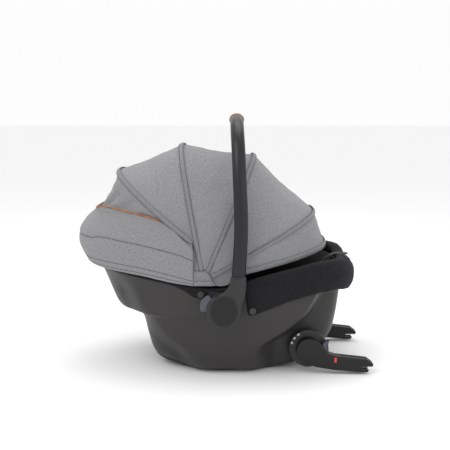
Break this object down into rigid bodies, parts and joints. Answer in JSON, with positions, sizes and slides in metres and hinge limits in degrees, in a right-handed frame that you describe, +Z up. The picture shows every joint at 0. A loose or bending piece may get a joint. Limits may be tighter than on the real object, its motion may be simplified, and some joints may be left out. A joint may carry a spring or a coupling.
{
  "type": "infant car seat",
  "caption": "Rocker-bottomed infant carrier with a padded harness seat, a swinging carry handle, a folding fabric canopy and rigid anchor connectors at the foot end.",
  "frame": {"origin": "centre of the overall length and width, on the floor that the rocker stands on", "axes": "+X to the foot end, where the connectors point, +Z up, Y = 0 the plane of symmetry, left side at -Y"},
  "size_m": [0.6617, 0.447, 0.5672],
  "materials": {
    "shell": "fine moulded texture, dark warm grey",
    "black_plastic": "satin moulded black",
    "button_plastic": "satin blue grey",
    "black_fabric": "fine knitted cover, black",
    "grey_fabric": "melange woven fabric, mid grey",
    "tan_leather": "stitched tan leather look",
    "webbing": "woven polyester webbing",
    "foam": "moulded bead foam",
    "steel": "bright zinc",
    "tube_paint": "satin dark grey with a soft sheen",
    "red_plastic": "gloss signal red"
  },
  "bodies": {
    "carrier": {"shell": "shell", "foam_liner": "foam", "seat_lining": "black_fabric", "rim_pad": "black_fabric", "body_insert": "black_fabric", "crotch_pad": "black_fabric", "buckle_body": "black_plastic", "buckle_tongue_left": "steel", "buckle_tongue_right": "steel", "crotch_strap": "webbing", "shoulder_strap_left": "webbing", "shoulder_strap_right": "webbing", "shoulder_pad_left": "black_fabric", "shoulder_pad_right": "black_fabric", "adjuster_housing": "black_plastic", "adjuster_strap": "webbing", "hood": "grey_fabric", "hood_gusset": "grey_fabric", "canopy_bow_1": "black_plastic", "canopy_bracket_left": "black_plastic", "canopy_bracket_right": "black_plastic", "handle_socket_left": "shell", "handle_socket_right": "shell", "handle_axle_left": "steel", "handle_axle_right": "steel", "cover_stud_rear_left": "black_plastic", "cover_stud_rear_right": "black_plastic", "cover_stud_front_left": "black_plastic", "cover_stud_front_right": "black_plastic", "pivot_plate_left": "black_plastic", "pivot_plate_right": "black_plastic"},
    "headrest": {"headrest_pad": "black_fabric", "headrest_board": "black_plastic"},
    "buckle_button": {"buckle_button": "red_plastic"},
    "adjuster_button": {"adjuster_button": "button_plastic"},
    "handle": {"handle_tube": "tube_paint", "handle_grip": "tan_leather", "handle_boot_left": "shell", "handle_boot_right": "shell", "boot_cap_left": "black_plastic", "boot_cap_right": "black_plastic"},
    "handle_button_left": {"handle_button_left": "button_plastic"},
    "handle_button_right": {"handle_button_right": "button_plastic"},
    "bow_2": {"canopy_bow_2": "black_plastic", "canopy_rear_panel": "grey_fabric"},
    "bow_3": {"canopy_bow_3": "black_plastic", "canopy_top_panel": "grey_fabric"},
    "bow_4": {"canopy_bow_4": "black_plastic", "canopy_front_panel": "grey_fabric", "canopy_visor": "grey_fabric"},
    "connectors": {"cross_tube": "steel", "connector_arm_left": "black_plastic", "connector_arm_right": "black_plastic", "lock_indicator_left": "red_plastic", "lock_indicator_right": "red_plastic"},
    "lever_left": {"release_lever_left": "button_plastic"},
    "hook_left": {"anchor_hook_left": "steel"},
    "lever_right": {"release_lever_right": "button_plastic"},
    "hook_right": {"anchor_hook_right": "steel"}
  },
  "joints": [
    {"name": "handle_swing", "type": "hinge", "parent": "carrier", "child": "handle", "pos_m": [0.0044, 0, 0.1547], "axis": [0, 1, 0], "range_deg": [-105, 0]},
    {"name": "handle_button_press_left", "type": "slide", "parent": "handle", "child": "handle_button_left", "axis": [0.9135, 0, -0.4067], "range_m": [0, 0.0035], "stiffness_N_per_m": 600, "springref_m": -0.002},
    {"name": "handle_button_press_right", "type": "slide", "parent": "handle", "child": "handle_button_right", "axis": [0.9135, 0, -0.4067], "range_m": [0, 0.0035], "stiffness_N_per_m": 600, "springref_m": -0.002},
    {"name": "canopy_fold", "type": "hinge", "parent": "carrier", "child": "bow_2", "pos_m": [-0.038, 0, 0.214], "axis": [0, -1, 0], "range_deg": [0, 22.5], "deforming": ["canopy_rear_panel"]},
    {"name": "canopy_fold_middle", "type": "hinge", "parent": "bow_2", "child": "bow_3", "pos_m": [-0.038, 0, 0.214], "axis": [0, -1, 0], "range_deg": [0, 26.2], "deforming": ["canopy_top_panel"]},
    {"name": "canopy_fold_front", "type": "hinge", "parent": "bow_3", "child": "bow_4", "pos_m": [-0.038, 0, 0.214], "axis": [0, -1, 0], "range_deg": [0, 30.2], "deforming": ["canopy_front_panel"]},
    {"name": "headrest_height", "type": "slide", "parent": "carrier", "child": "headrest", "axis": [-0.9205, 0, 0.3907], "range_m": [0, 0.045]},
    {"name": "buckle_release", "type": "slide", "parent": "carrier", "child": "buckle_button", "axis": [0, 0, -1], "range_m": [0, 0.003], "stiffness_N_per_m": 800, "springref_m": -0.002},
    {"name": "adjuster_release", "type": "slide", "parent": "carrier", "child": "adjuster_button", "axis": [0, 0, -1], "range_m": [0, 0.003], "stiffness_N_per_m": 800, "springref_m": -0.002},
    {"name": "connector_pivot", "type": "hinge", "parent": "carrier", "child": "connectors", "pos_m": [0.1902, 0, 0.0515], "axis": [0, -1, 0], "range_deg": [0, 50]},
    {"name": "release_lever_left", "type": "hinge", "parent": "connectors", "child": "lever_left", "pos_m": [0.2242, -0.14, 0.0495], "axis": [0, 1, 0], "range_deg": [0, 14]},
    {"name": "anchor_hook_left", "type": "hinge", "parent": "connectors", "child": "hook_left", "pos_m": [0.2762, -0.14, 0.0275], "axis": [0, 1, 0], "range_deg": [0, 12]},
    {"name": "release_lever_right", "type": "hinge", "parent": "connectors", "child": "lever_right", "pos_m": [0.2242, 0.14, 0.0495], "axis": [0, 1, 0], "range_deg": [0, 14]},
    {"name": "anchor_hook_right", "type": "hinge", "parent": "connectors", "child": "hook_right", "pos_m": [0.2762, 0.14, 0.0275], "axis": [0, 1, 0], "range_deg": [0, 12]}
  ],
  "couplings": [
    {"joint": "canopy_fold_middle", "follows": "canopy_fold", "ratio": 1.1556},
    {"joint": "canopy_fold_front", "follows": "canopy_fold", "ratio": 1.3333},
    {"joint": "anchor_hook_left", "follows": "release_lever_left", "ratio": 0.85},
    {"joint": "anchor_hook_right", "follows": "release_lever_right", "ratio": 0.85}
  ]
}
